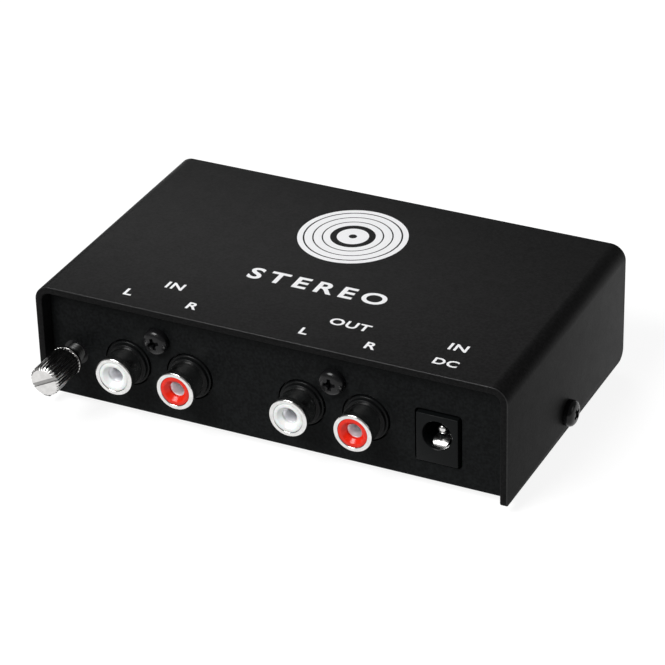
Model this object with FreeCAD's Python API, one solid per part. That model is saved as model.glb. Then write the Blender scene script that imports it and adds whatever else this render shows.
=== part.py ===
"""Phono preamp: a folded steel box with four phono sockets, a DC socket and an earth terminal.

Millimetres. X runs across the socket panel, Y runs from the panel to the back, Z runs up.
Every piece is laid out with y = 0 at the front cut edge of the cover and z = 0 at the surface
that the feet stand on. On export the part moves along Y, so that its origin is the bottom
centre of its outer box.
"""
import FreeCAD, Part
import math
import os
from FreeCAD import Vector

# Cover, an inverted channel of sheet steel
cover_width = 105.0
cover_depth = 63.2
cover_height = 26.8
cover_gauge = 1.5
cover_bend_radius = 3.4
cover_front_corner = 0.8
cover_rear_corner = 2.5

# Chassis, a channel with the socket panel, the floor and the rear panel
chassis_gauge = 1.2
chassis_bend_radius = 0.6
panel_recess = 3.0
rear_recess = 1.0
cover_clearance = 0.3
tab_width = 12.0
tab_height = 9.0

# Least inner radius of a fold, and how near a plane an edge's middle lies to be picked
least_bend = 0.2
pick_margin = 0.1

# Rubber feet
foot_radius = 4.0
foot_height = 2.0
foot_inset = 9.0
foot_edge = 0.5

# Machine screws, M3 pan heads with a cross recess
screw_radius = 1.5
screw_head_radius = 2.8
screw_head_rounding = 1.26
screw_head_height = 2.1
screw_hole_clearance = 0.2
recess_width = 0.8
recess_span = 3.0
recess_depth = 1.1
cover_screw_length = 6.0
cover_screw_height = 4.2
socket_screw_length = 7.0
board_screw_length = 3.4

# Circuit board and what carries it
board_thickness = 1.6
standoff_height = 2.1
standoff_radius = 2.8
board_front_gap = 0.8
board_back_gap = 3.4
board_side_gap = 6.7
board_hole_inset = 4.0
board_front_hole = 16.0
lead_hole_radius = 0.6
lead_tail = 1.0

# Twin phono sockets
input_pair_inset = 26.6
output_pair_inset = 38.7
socket_pitch = 14.2
socket_axis_height = 6.4
housing_depth = 10.4
housing_side_wall = 6.1
housing_above_axis = 5.6
boss_width = 9.0
boss_above_screw = 3.0
socket_screw_above_axis = 6.9
collar_radius = 4.95
collar_hole_clearance = 0.35
collar_reach = 0.35
ridge_radius = 4.5
ridge_reach = 1.1
ridge_edge = 0.3
shell_reach = 6.6
shell_radius = 4.0
shell_wall = 0.35
shell_inside = 3.0
lip_radius = 4.17
lip_length = 1.5
lip_mouth_radius = 3.25
lip_face = 0.45
lip_edge = 0.3
insulator_clearance = 0.05
insulator_recess = 0.1
insulator_length = 11.0
funnel_radius = 2.4
funnel_depth = 0.9
contact_bore_radius = 1.6
contact_wall = 0.4
contact_setback = 1.6
contact_length = 9.0
contact_bore_depth = 7.5
insulator_hole_radius = 1.7
tail_width = 1.0
tail_thickness = 0.5

# DC socket
dc_inset = 15.9
dc_width = 9.0
dc_height = 11.0
dc_depth = 14.2
dc_proud = 0.8
dc_axis_height = 6.5
dc_hole_radius = 3.2
dc_hole_depth = 10.0
dc_cutout_clearance = 0.6
dc_cutout_corner = 1.0
dc_edge = 0.25
dc_pin_radius = 1.05
dc_pin_setback = 2.2
dc_pin_base_radius = 1.6
dc_pin_base_length = 0.5
dc_pin_rounding = 0.42
dc_spring_width = 3.4
dc_spring_gauge = 0.3
dc_spring_setback = 1.3
dc_spring_rise = 1.2
dc_spring_slot_clearance = 0.3

# Earth terminal: knurled thumb screw in a closed bush
terminal_inset = 7.1
terminal_axis_height = 5.95
thread_radius = 2.0
thread_pitch = 0.7
running_clearance = 0.05
turns_in = 5
seat_clearance = 0.1
washer_radius = 3.3
washer_thickness = 0.7
knob_radius = 3.35
knob_length = 9.0
knob_chamfer = 0.4
knob_rim = 0.5
flute_count = 22
flute_depth = 0.32
flute_land = 0.3
slot_width = 0.8
slot_depth = 0.9
slot_angle = 32.0
thread_end_gap = 0.2
thread_chamfer = 0.5
bush_spigot_radius = 2.8
bush_flange_radius = 4.2
bush_flange = 1.0
bush_sleeve_radius = 3.0
bush_sleeve_length = 7.0
bush_end_wall = 0.8
lug_radius = 4.3
lug_gauge = 0.5
lug_tail_length = 8.0
lug_tail_width = 2.6
lug_tail_start = 0.3
lock_washer_radius = 4.6
lock_washer_gauge = 0.6
nut_flats = 8.0
nut_height = 2.4
wire_radius = 0.65
wire_run = 5.0
wire_edge_inset = 2.2
wire_screw_gap = 2.1
wire_shoulder_share = 0.55
wire_bend_share = 0.45

# Parts soldered on the board, in three rows behind the sockets
front_row = 19.0
middle_row = 30.0
back_row = 40.0
row_margin = 8.3
chip_length = 9.4
chip_width = 6.4
chip_height = 3.3
chip_lift = 0.6
chip_notch_radius = 0.9
chip_notch_depth = 0.4
chip_lead_pitch = 2.54
chip_row = 7.62
lead_radius = 0.3
lead_root = 0.5
big_can_radius = 4.0
big_can_height = 11.5
small_can_radius = 2.5
small_can_height = 9.0
can_lead_pitch = 2.5
can_groove = 0.25
can_groove_share = 0.16
can_rounding = 0.3
film_length = 7.2
film_width = 2.8
film_height = 6.5
film_lead_pitch = 5.0
film_edge = 0.3
axial_lift = 0.4
axial_rounding_share = 0.35
resistor_radius = 1.15
resistor_length = 6.2
resistor_span = 10.0
diode_radius = 1.35
diode_length = 4.6
regulator_radius = 2.4
regulator_height = 4.8
regulator_lift = 2.5
regulator_flat = 1.2
led_radius = 1.5
led_flange_radius = 1.9
led_flange = 1.0
led_length = 4.6
led_proud = 0.6
led_dome = 1.35
led_knee_gap = 1.5
led_inset = 24.5
led_axis_height = 5.0
led_lead_pitch = 2.54
led_hole_clearance = 0.1

# Places across the panel, measured from the cover's sides
pair_centres = {"input": input_pair_inset - cover_width / 2, "output": cover_width / 2 - output_pair_inset}
dc_x = cover_width / 2 - dc_inset
led_x = cover_width / 2 - led_inset
terminal_x = terminal_inset - cover_width / 2

# Heights and planes worked out from the sizes above
case_z = foot_height
cover_top = case_z + cover_height
floor_top = case_z + chassis_gauge
board_bottom = floor_top + standoff_height
board_top = board_bottom + board_thickness
panel_back = panel_recess + chassis_gauge
flange_back = panel_back + bush_flange
sleeve_back = flange_back + bush_sleeve_length
bush_bore_end = sleeve_back - bush_end_wall
rear_face = cover_depth - rear_recess
rear_inside = rear_face - chassis_gauge
chassis_half = cover_width / 2 - cover_gauge - cover_clearance
chassis_top = cover_top - cover_gauge - cover_clearance
socket_z = board_top + socket_axis_height
socket_screw_z = socket_z + socket_screw_above_axis
dc_z = board_top + dc_axis_height
terminal_z = board_top + terminal_axis_height
board_front = panel_back + board_front_gap
board_back = rear_inside - board_back_gap
board_half = chassis_half - board_side_gap
lip_front = panel_recess - shell_reach
housing_back = panel_back + housing_depth
dc_face = panel_recess - dc_proud
washer_back = panel_recess - seat_clearance - turns_in * thread_pitch
washer_front = washer_back - washer_thickness
knob_back = washer_front - running_clearance
knob_face = knob_back - knob_length
cover_screw_y = cover_depth / 2
cover_screw_z = case_z + cover_screw_height

ACROSS = Vector(1, 0, 0)
BACK = Vector(0, 1, 0)
UP = Vector(0, 0, 1)
DOWN = Vector(0, 0, -1)

board_drillings = []


def block(x0, x1, y0, y1, z0, z1):
    """Box between two corners."""
    return Part.makeBox(x1 - x0, y1 - y0, z1 - z0, Vector(x0, y0, z0))


def rod(x, y, z, direction, radius, length):
    """Cylinder that starts at a point and runs along a direction."""
    return Part.makeCylinder(radius, length, Vector(x, y, z), direction)


def pad(x, y, z, direction, radius, length, hole):
    """Ring with a round hole."""
    return rod(x, y, z, direction, radius, length).cut(rod(x, y, z, direction, hole, length))


def turned(profile, x, z):
    """Solid turned about the line through (x, z) along Y from (radius, y) points."""
    points = [Vector(x + radius, y, z) for radius, y in profile]
    face = Part.Face(Part.makePolygon(points + points[:1]))
    return face.revolve(Vector(x, 0, z), BACK, 360)


def run_edges(shape, direction, wanted):
    """Straight edges along a direction whose middle passes a test."""
    found = []
    for edge in shape.Edges:
        if not isinstance(edge.Curve, Part.Line):
            continue
        along = edge.tangentAt(edge.FirstParameter)
        if abs(along.dot(direction)) > 0.999 and wanted(edge.CenterOfMass):
            found.append(edge)
    return found


def circle_edges(shape, y, radius):
    """Round edges of one radius that lie in a plane across Y."""
    found = []
    for edge in shape.Edges:
        if isinstance(edge.Curve, Part.Circle) and abs(edge.Curve.Radius - radius) < 1e-4:
            if abs(edge.CenterOfMass.y - y) < 1e-4:
                found.append(edge)
    return found


def joined(shapes):
    """One solid fused from several."""
    whole = shapes[0]
    for shape in shapes[1:]:
        whole = whole.fuse(shape)
    return whole.removeSplitter()


def cleared(shape, cutters):
    """Shape with every cutter taken out."""
    for cutter in cutters:
        shape = shape.cut(cutter)
    return shape


def pan_head_screw(x, y, z, inward, length):
    """Screw whose head sits on (x, y, z) and whose shank runs inward."""
    shank = Part.makeCylinder(screw_radius, length, Vector(), DOWN)
    head = Part.makeCylinder(screw_head_radius, screw_head_height)
    rim = [edge for edge in head.Edges if edge.CenterOfMass.z > screw_head_height - 1e-6]
    head = head.makeFillet(screw_head_rounding, rim)
    bottom = screw_head_height - recess_depth
    half = recess_width / 2
    reach = recess_span / 2
    cross = block(-half, half, -reach, reach, bottom, screw_head_height)
    cross = cross.fuse(block(-reach, reach, -half, half, bottom, screw_head_height))
    screw = head.cut(cross).fuse(shank)
    screw.Placement = FreeCAD.Placement(Vector(x, y, z), FreeCAD.Rotation(DOWN, inward))
    return screw


def make_cover():
    """Inverted channel with rounded lower corners and a hole in each side."""
    half = cover_width / 2
    outer = block(-half, half, 0, cover_depth, case_z, cover_top)
    outer = outer.makeFillet(cover_bend_radius,
                             run_edges(outer, BACK, lambda c: c.z > cover_top - pick_margin))
    inner_half = half - cover_gauge
    inner_top = cover_top - cover_gauge
    inner = block(-inner_half, inner_half, -1, cover_depth + 1, case_z - 1, inner_top)
    inner_bend = max(cover_bend_radius - cover_gauge, least_bend)
    inner = inner.makeFillet(inner_bend, run_edges(inner, BACK, lambda c: c.z > inner_top - pick_margin))
    side = block(-half, half, 0, cover_depth, case_z, cover_top)
    low_front = run_edges(side, ACROSS, lambda c: c.z < case_z + pick_margin and c.y < pick_margin)
    side = side.makeFillet(cover_front_corner, low_front)
    low_rear = run_edges(side, ACROSS,
                         lambda c: c.z < case_z + pick_margin and c.y > cover_depth - pick_margin)
    side = side.makeFillet(cover_rear_corner, low_rear)
    holes = rod(-half, cover_screw_y, cover_screw_z, ACROSS, screw_radius + screw_hole_clearance, cover_width)
    return outer.cut(inner).common(side).cut(holes)


def panel_cutouts():
    """Openings of the socket panel."""
    cutters = []
    for x in socket_places():
        radius = collar_radius + collar_hole_clearance
        cutters.append(rod(x, panel_recess - 1, socket_z, BACK, radius, chassis_gauge + 2))
    for x in pair_centres.values():
        radius = screw_radius + screw_hole_clearance
        cutters.append(rod(x, panel_recess - 1, socket_screw_z, BACK, radius, chassis_gauge + 2))
    gap = dc_cutout_clearance
    left = dc_x - dc_width / 2 - gap
    right = dc_x + dc_width / 2 + gap
    window = block(left, right, panel_recess - 1, panel_back + 1,
                   board_top - gap, board_top + dc_height + gap)
    cutters.append(window.makeFillet(dc_cutout_corner, run_edges(window, BACK, lambda c: True)))
    cutters.append(rod(terminal_x, panel_recess - 1, terminal_z, BACK, bush_spigot_radius, chassis_gauge + 2))
    return cutters


def socket_places():
    """X of each phono socket, left to right."""
    places = []
    for centre in pair_centres.values():
        places += [centre - socket_pitch / 2, centre + socket_pitch / 2]
    return places


def make_chassis():
    """Folded channel with two screw tabs at its sides."""
    outer = block(-chassis_half, chassis_half, panel_recess, rear_face, case_z, chassis_top)
    outer = outer.makeFillet(chassis_bend_radius,
                             run_edges(outer, ACROSS, lambda c: c.z < case_z + pick_margin))
    shoulder = max(cover_bend_radius - cover_gauge - cover_clearance, least_bend)
    outer = outer.makeFillet(shoulder, run_edges(outer, BACK, lambda c: c.z > chassis_top - pick_margin))
    inner = block(-chassis_half - 1, chassis_half + 1, panel_back, rear_inside, floor_top, chassis_top + 1)
    inner_bend = max(chassis_bend_radius - chassis_gauge, least_bend)
    inner = inner.makeFillet(inner_bend, run_edges(inner, ACROSS, lambda c: c.z < floor_top + pick_margin))
    chassis = outer.cut(inner)
    for side in (-1, 1):
        inside = side * (chassis_half - chassis_gauge)
        outside = side * chassis_half
        near = cover_screw_y - tab_width / 2
        tab = block(min(inside, outside), max(inside, outside), near, near + tab_width,
                    case_z, case_z + tab_height)
        rim = run_edges(tab, ACROSS, lambda c: c.z > case_z + tab_height - pick_margin)
        chassis = chassis.fuse(tab.makeFillet(tab_width / 6, rim))
    holes = rod(-chassis_half, cover_screw_y, cover_screw_z, ACROSS, screw_radius, 2 * chassis_half)
    led_hole = rod(led_x, rear_inside - 1, board_top + led_axis_height, BACK,
                   led_radius + led_hole_clearance, chassis_gauge + 2)
    return cleared(chassis, panel_cutouts() + [holes, led_hole]).removeSplitter()


def make_feet():
    """Four round feet stuck under the floor."""
    feet = []
    for x in (-chassis_half + foot_inset, chassis_half - foot_inset):
        for y in (panel_recess + foot_inset, rear_face - foot_inset):
            foot = rod(x, y, 0, UP, foot_radius, foot_height)
            rim = [edge for edge in foot.Edges if edge.CenterOfMass.z < 1e-6]
            feet.append(foot.makeChamfer(foot_edge, rim))
    return feet


def board_hole_places():
    """Centres of the four board screws."""
    x = board_half - board_hole_inset
    return [(side * x, y) for side in (-1, 1)
            for y in (board_front + board_front_hole, board_back - board_hole_inset)]


def make_standoffs():
    """Tapped spacers between the floor and the board."""
    return [pad(x, y, floor_top, UP, standoff_radius, standoff_height, screw_radius)
            for x, y in board_hole_places()]


def make_board_screws():
    """Screws through the board into the spacers."""
    return [pan_head_screw(x, y, board_top, DOWN, board_screw_length) for x, y in board_hole_places()]


def make_board():
    """Board with its screw holes and one drilling for each lead."""
    board = block(-board_half, board_half, board_front, board_back, board_bottom, board_top)
    cutters = []
    for x, y in board_hole_places():
        radius = screw_radius + screw_hole_clearance
        cutters.append(rod(x, y, board_bottom - 1, UP, radius, board_thickness + 2))
    for x, y in board_drillings:
        cutters.append(rod(x, y, board_bottom - 1, UP, lead_hole_radius, board_thickness + 2))
    return board.cut(Part.makeCompound(cutters))


def lead(x, y, top):
    """Round lead from a height down through the board, with its drilling noted."""
    board_drillings.append((x, y))
    foot = board_bottom - lead_tail
    return rod(x, y, foot, UP, lead_radius, top - foot)


def make_shell(x):
    """Plated sleeve with a rolled lip and a solder tail."""
    lip_back = lip_front + lip_length
    root = panel_back + shell_inside
    inner = shell_radius - shell_wall
    sleeve = turned([(lip_mouth_radius, lip_front), (lip_radius, lip_front), (lip_radius, lip_back),
                     (shell_radius, lip_back), (shell_radius, root), (inner, root),
                     (inner, lip_front + lip_face), (lip_mouth_radius, lip_front + lip_face)], x, socket_z)
    sleeve = sleeve.makeFillet(lip_edge, circle_edges(sleeve, lip_front, lip_radius))
    low = socket_z - inner - shell_wall / 2
    foot = board_bottom - lead_tail
    tail_y = root - tail_width
    tail = block(x - tail_width / 2, x + tail_width / 2, tail_y, tail_y + tail_thickness, foot, low)
    board_drillings.append((x, tail_y + tail_thickness / 2))
    return joined([sleeve, tail])


def make_insulator(x):
    """Coloured core with a funnel mouth and the plug hole."""
    front = lip_front + insulator_recess
    step = lip_front + lip_face + insulator_clearance
    back = front + insulator_length
    nose = lip_mouth_radius - insulator_clearance
    body = shell_radius - shell_wall - insulator_clearance
    throat = front + funnel_depth
    seat = lip_front + contact_setback
    outer = contact_bore_radius + contact_wall
    return turned([(funnel_radius, front), (nose, front), (nose, step), (body, step), (body, back),
                   (outer, back), (outer, seat), (insulator_hole_radius, seat),
                   (insulator_hole_radius, throat)], x, socket_z)


def make_contact(x):
    """Spring sleeve for the plug's centre pin, with its solder tail."""
    front = lip_front + contact_setback
    back = front + contact_length
    outer = contact_bore_radius + contact_wall
    sleeve = rod(x, front, socket_z, BACK, outer, contact_length)
    sleeve = sleeve.cut(rod(x, front, socket_z, BACK, contact_bore_radius, contact_bore_depth))
    end = housing_back
    strip = block(x - tail_width / 2, x + tail_width / 2, back - contact_wall, end,
                  socket_z - tail_thickness / 2, socket_z + tail_thickness / 2)
    foot = board_bottom - lead_tail
    tail_y = end - tail_thickness
    tail = block(x - tail_width / 2, x + tail_width / 2, tail_y, end, foot, socket_z)
    board_drillings.append((x, tail_y + tail_thickness / 2))
    return joined([sleeve, strip, tail])


def make_housing(centre, inserts):
    """Moulded block of a twin socket: collars, body and the boss for its screw."""
    half = socket_pitch / 2 + housing_side_wall
    body = block(centre - half, centre + half, panel_back, housing_back,
                 board_top, socket_z + housing_above_axis)
    boss_top = socket_screw_z + boss_above_screw
    boss = block(centre - boss_width / 2, centre + boss_width / 2, panel_back, housing_back,
                 board_top, boss_top)
    shapes = [body, boss]
    for x in (centre - socket_pitch / 2, centre + socket_pitch / 2):
        collar = rod(x, panel_recess - collar_reach, socket_z, BACK, collar_radius,
                     collar_reach + chassis_gauge + 1)
        collar_rim = circle_edges(collar, panel_recess - collar_reach, collar_radius)
        collar = collar.makeFillet(ridge_edge, collar_rim)
        ridge = rod(x, panel_recess - ridge_reach, socket_z, BACK, ridge_radius, ridge_reach + 1)
        ridge = ridge.makeFillet(ridge_edge, circle_edges(ridge, panel_recess - ridge_reach, ridge_radius))
        shapes += [collar, ridge]
    cutters = list(inserts)
    for x in (centre - socket_pitch / 2, centre + socket_pitch / 2):
        inner = shell_radius - shell_wall
        cutters.append(rod(x, panel_recess - ridge_reach - 1, socket_z, BACK, inner,
                           lip_front + insulator_recess + insulator_length - panel_recess + ridge_reach + 1))
    cutters.append(rod(centre, panel_back, socket_screw_z, BACK, screw_radius,
                       socket_screw_length - chassis_gauge))
    return cleared(joined(shapes), cutters)


def make_dc_socket():
    """DC socket: moulded body, centre pin and spring contact."""
    left = dc_x - dc_width / 2
    right = dc_x + dc_width / 2
    back = dc_face + dc_depth
    body = block(left, right, dc_face, back, board_top, board_top + dc_height)
    body = body.makeChamfer(dc_edge, run_edges(body, BACK, lambda c: c.z > board_top + pick_margin))
    floor = dc_face + dc_hole_depth
    body = body.cut(rod(dc_x, dc_face, dc_z, BACK, dc_hole_radius, dc_hole_depth))

    tip = dc_face + dc_pin_setback
    pin = rod(dc_x, tip, dc_z, BACK, dc_pin_radius, back - tip)
    pin = pin.makeFillet(dc_pin_rounding, circle_edges(pin, tip, dc_pin_radius))
    pin = pin.fuse(rod(dc_x, floor - 1, dc_z, BACK, dc_pin_base_radius, dc_pin_base_length + 1))
    foot = board_bottom - lead_tail
    tail_y = back - tail_thickness
    pin_tail = block(dc_x - tail_width / 2, dc_x + tail_width / 2, tail_y, back, foot, dc_z)
    board_drillings.append((dc_x, tail_y + tail_thickness / 2))
    pin = joined([pin, pin_tail])

    bottom = dc_z - dc_hole_radius - dc_spring_gauge
    near = dc_face + dc_spring_setback
    crest = dc_face + dc_hole_depth / 2
    far = floor - 1
    half = dc_spring_width / 2
    profile = [(near, bottom), (crest, bottom + dc_spring_rise), (far, bottom), (far, foot),
               (far + dc_spring_gauge, foot), (far + dc_spring_gauge, bottom + dc_spring_gauge),
               (far, bottom + dc_spring_gauge),
               (crest, bottom + dc_spring_rise + dc_spring_gauge), (near, bottom + dc_spring_gauge)]
    points = [Vector(dc_x - half, y, z) for y, z in profile]
    strip = Part.Face(Part.makePolygon(points + points[:1])).extrude(ACROSS * dc_spring_width)
    narrow = (dc_spring_width - tail_width) / 2
    for x in (dc_x - half, dc_x + half - narrow):
        strip = strip.cut(block(x, x + narrow, far - 1, far + 1, foot - 1, board_top))
    board_drillings.append((dc_x, far + dc_spring_gauge / 2))
    gap = dc_spring_slot_clearance
    slot = block(dc_x - half - gap, dc_x + half + gap, near - gap, far + dc_spring_gauge + gap,
                 board_top, dc_z - dc_hole_radius / 2)
    body = cleared(body, [pin, slot])
    return body, pin, strip


def make_thumb_screw():
    """Knurled thumb screw with a slotted face and its thread."""
    points = []
    step = 360.0 / flute_count
    for index in range(flute_count):
        for share, radius in ((-flute_land, knob_radius), (flute_land, knob_radius),
                              (0.5, knob_radius - flute_depth)):
            angle = math.radians((index + share / 2 if radius == knob_radius else index + share) * step)
            points.append(Vector(terminal_x + radius * math.cos(angle), knob_face,
                                 terminal_z + radius * math.sin(angle)))
    fluted = Part.Face(Part.makePolygon(points + points[:1])).extrude(BACK * knob_length)
    rim_front = knob_back - knob_rim
    envelope = turned([(0, knob_face), (knob_radius - knob_chamfer, knob_face),
                       (knob_radius, knob_face + knob_chamfer), (knob_radius, knob_back), (0, knob_back)],
                      terminal_x, terminal_z)
    knob = fluted.common(envelope)
    knob = knob.fuse(rod(terminal_x, rim_front, terminal_z, BACK, knob_radius, knob_rim))
    slot = block(-2 * knob_radius, 2 * knob_radius, knob_face - 1, knob_face + slot_depth,
                 -slot_width / 2, slot_width / 2)
    slot.Placement = FreeCAD.Placement(Vector(terminal_x, 0, terminal_z), FreeCAD.Rotation(BACK, -slot_angle))
    thread_length = bush_bore_end - thread_end_gap - turns_in * thread_pitch - knob_back
    thread = rod(terminal_x, knob_back, terminal_z, BACK, thread_radius, thread_length)
    end = knob_back + thread_length
    thread = thread.makeChamfer(thread_chamfer, circle_edges(thread, end, thread_radius))
    return joined([knob.cut(slot), thread])


def make_terminal_parts():
    """Bush, solder lug, lock washer, nut and clamp washer of the earth terminal."""
    bore = thread_radius + running_clearance
    bush = turned([(bore, panel_recess), (bush_spigot_radius, panel_recess), (bush_spigot_radius, panel_back),
                   (bush_flange_radius, panel_back), (bush_flange_radius, flange_back),
                   (bush_sleeve_radius, flange_back), (bush_sleeve_radius, sleeve_back), (0, sleeve_back),
                   (0, bush_bore_end), (bore, bush_bore_end)], terminal_x, terminal_z)
    lug = pad(terminal_x, flange_back, terminal_z, BACK, lug_radius, lug_gauge, bush_sleeve_radius)
    tail = block(terminal_x - lug_tail_width / 2, terminal_x + lug_tail_width / 2,
                 flange_back, flange_back + lug_gauge,
                 terminal_z + bush_sleeve_radius + lug_tail_start, terminal_z + lug_tail_length)
    lug = joined([lug, tail])
    lock_front = flange_back + lug_gauge
    lock = pad(terminal_x, lock_front, terminal_z, BACK, lock_washer_radius, lock_washer_gauge,
               bush_sleeve_radius)
    teeth = [rod(terminal_x + lock_washer_radius * math.cos(math.radians(angle)), lock_front,
                 terminal_z + lock_washer_radius * math.sin(math.radians(angle)), BACK,
                 lock_washer_gauge, lock_washer_gauge) for angle in range(0, 360, 30)]
    lock = cleared(lock, teeth)
    nut_front = lock_front + lock_washer_gauge
    corner = nut_flats / math.sqrt(3)
    ring = [Vector(terminal_x + corner * math.cos(math.radians(60 * k)), nut_front,
                   terminal_z + corner * math.sin(math.radians(60 * k))) for k in range(7)]
    nut = Part.Face(Part.makePolygon(ring)).extrude(BACK * nut_height)
    nut = nut.cut(rod(terminal_x, nut_front, terminal_z, BACK, bush_sleeve_radius, nut_height))
    washer = pad(terminal_x, washer_front, terminal_z, BACK, washer_radius, washer_thickness, bore)
    return bush, lug, lock, nut, washer


def tube_along(points, radius):
    """Round tube along straight runs joined by tangent arcs."""
    edges = []
    start = points[0]
    for before, corner, after in zip(points, points[1:], points[2:]):
        arriving = (corner - before).normalize()
        leaving = (after - corner).normalize()
        turn = arriving.getAngle(leaving)
        cut = wire_bend_share * min((corner - before).Length, (after - corner).Length)
        bend = cut / math.tan(turn / 2)
        first = corner - arriving * cut
        last = corner + leaving * cut
        inward = (leaving - arriving).normalize()
        middle = corner + inward * (bend / math.cos(turn / 2) - bend)
        edges.append(Part.LineSegment(start, first).toShape())
        edges.append(Part.Arc(first, middle, last).toShape())
        start = last
    edges.append(Part.LineSegment(start, points[-1]).toShape())
    path = Part.Wire(edges)
    ring = Part.Wire(Part.makeCircle(radius, points[0], points[1] - points[0]))
    return path.makePipeShell([ring], True, False)


def make_ground_wire():
    """Insulated wire from the solder lug down to the board."""
    tail_back = flange_back + lug_gauge
    top = terminal_z + lug_tail_length - lug_tail_width / 2
    landing_x = wire_edge_inset - board_half
    landing_y = board_front + board_front_hole - screw_head_radius - wire_screw_gap
    shoulder = board_top + wire_shoulder_share * (top - board_top)
    return tube_along([Vector(terminal_x, tail_back, top), Vector(terminal_x, tail_back + wire_run, top),
                       Vector(landing_x, landing_y, shoulder), Vector(landing_x, landing_y, board_top)],
                      wire_radius)


def make_chip(x, y):
    """Eight-lead chip with its row of leads each side."""
    base = board_top + chip_lift
    body = block(x - chip_length / 2, x + chip_length / 2, y - chip_width / 2, y + chip_width / 2,
                 base, base + chip_height)
    notch = rod(x - chip_length / 2, y, base + chip_height - chip_notch_depth, UP, chip_notch_radius, 1)
    body = body.cut(notch)
    shapes = [body]
    for column in range(4):
        lead_x = x + (column - 1.5) * chip_lead_pitch
        for side in (-1, 1):
            lead_y = y + side * chip_row / 2
            knee = base + chip_height / 2
            shapes.append(lead(lead_x, lead_y, knee))
            shapes.append(block(lead_x - lead_radius, lead_x + lead_radius,
                                min(y, lead_y + side * lead_radius),
                                max(y, lead_y + side * lead_radius), knee - lead_radius, knee + lead_radius))
    return joined(shapes)


def make_can(x, y, radius, height):
    """Upright electrolytic capacitor with a crimp groove."""
    can = rod(x, y, board_top, UP, radius, height)
    rim = [edge for edge in can.Edges if abs(edge.CenterOfMass.z - board_top - height) < 1e-6]
    can = can.makeFillet(can_rounding, rim)
    groove = Part.makeTorus(radius, can_groove, Vector(x, y, board_top + can_groove_share * height), UP)
    can = can.cut(groove)
    leads = [lead(x + side * can_lead_pitch / 2, y, board_top + lead_root) for side in (-1, 1)]
    return joined([can] + leads)


def make_film(x, y):
    """Boxed film capacitor."""
    body = block(x - film_length / 2, x + film_length / 2, y - film_width / 2, y + film_width / 2,
                 board_top, board_top + film_height)
    body = body.makeFillet(film_edge, run_edges(body, UP, lambda c: True))
    leads = [lead(x + side * film_lead_pitch / 2, y, board_top + lead_root) for side in (-1, 1)]
    return joined([body] + leads)


def make_axial(x, y, radius, length):
    """Part that lies along Y with a bent lead at each end."""
    height = board_top + axial_lift + radius
    body = rod(x, y - length / 2, height, BACK, radius, length)
    body = body.makeFillet(axial_rounding_share * radius, circle_edges(body, y - length / 2, radius)
                           + circle_edges(body, y + length / 2, radius))
    wire = rod(x, y - resistor_span / 2, height, BACK, lead_radius, resistor_span)
    legs = [lead(x, y + side * resistor_span / 2, height) for side in (-1, 1)]
    knees = [Part.makeSphere(lead_radius, Vector(x, y + side * resistor_span / 2, height))
             for side in (-1, 1)]
    return joined([body, wire] + legs + knees)


def make_regulator(x, y):
    """Three-lead regulator with a flat face."""
    base = board_top + regulator_lift
    body = rod(x, y, base, UP, regulator_radius, regulator_height)
    flat = block(x - regulator_radius, x + regulator_radius, y + regulator_flat,
                 y + 2 * regulator_radius, base, base + regulator_height)
    legs = [lead(x + side * chip_lead_pitch / 2, y, base + lead_root) for side in (-1, 0, 1)]
    return joined([body.cut(flat)] + legs)


def spread(widths):
    """Centres of a row of parts that stand across the board with equal gaps."""
    gap = (2 * board_half - 2 * row_margin - sum(widths)) / (len(widths) - 1)
    places = []
    edge = row_margin - board_half
    for width in widths:
        places.append(edge + width / 2)
        edge += width + gap
    return places


def make_board_rows():
    """Capacitors, chips, resistors, diodes and regulators in their rows."""
    rows = {}
    y = board_front + front_row
    places = spread([2 * small_can_radius] * 4 + [2 * big_can_radius] * 2)
    rows["coupling_capacitors"] = [make_can(x, y, small_can_radius, small_can_height) for x in places[:4]]
    rows["supply_capacitors"] = [make_can(x, y, big_can_radius, big_can_height) for x in places[4:]]

    y = board_front + middle_row
    resistor = 2 * resistor_radius
    places = spread([resistor] * 4 + [chip_length] + [resistor] * 2 + [chip_length] + [resistor] * 2
                    + [2 * diode_radius] * 2)
    rows["op_amps"] = [make_chip(places[index], y) for index in (4, 7)]
    rows["resistors"] = [make_axial(places[index], y, resistor_radius, resistor_length)
                         for index in (0, 1, 2, 3, 5, 6, 8, 9)]
    rows["diodes"] = [make_axial(places[index], y, diode_radius, diode_length) for index in (10, 11)]

    y = board_front + back_row
    places = spread([film_length] * 4 + [2 * regulator_radius] * 3)
    rows["film_capacitors"] = [make_film(x, y) for x in places[:4]]
    rows["voltage_regulators"] = [make_regulator(x, y) for x in places[4:6]]
    return rows


def make_led():
    """Round lamp that looks through the rear panel on bent leads."""
    z = board_top + led_axis_height
    tip = rear_face + led_proud
    back = tip - led_length
    body = rod(led_x, back, z, BACK, led_radius, led_length)
    body = body.makeFillet(led_dome, circle_edges(body, tip, led_radius))
    shapes = [body, rod(led_x, back - led_flange, z, BACK, led_flange_radius, led_flange)]
    knee = board_back - led_knee_gap
    for side in (-1, 1):
        x = led_x + side * led_lead_pitch / 2
        shapes.append(rod(x, knee, z, BACK, lead_radius, back - knee - lead_root))
        shapes.append(lead(x, knee, z))
        shapes.append(Part.makeSphere(lead_radius, Vector(x, knee, z)))
    return joined(shapes)


def save(node, shapes, shift):
    """Write one node, from one solid or a group of separate solids."""
    if not isinstance(shapes, list):
        shapes = [shapes]
    solids = []
    for shape in shapes:
        solids += shape.Solids
    for solid in solids:
        solid.translate(shift)
    whole = solids[0] if len(solids) == 1 else Part.makeCompound(solids)
    whole.exportStep("parts/%s.step" % node)
    print("%-26s %2d solid(s) %9.1f mm3 valid %s" % (node, len(solids), whole.Volume, whole.isValid()))


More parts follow.
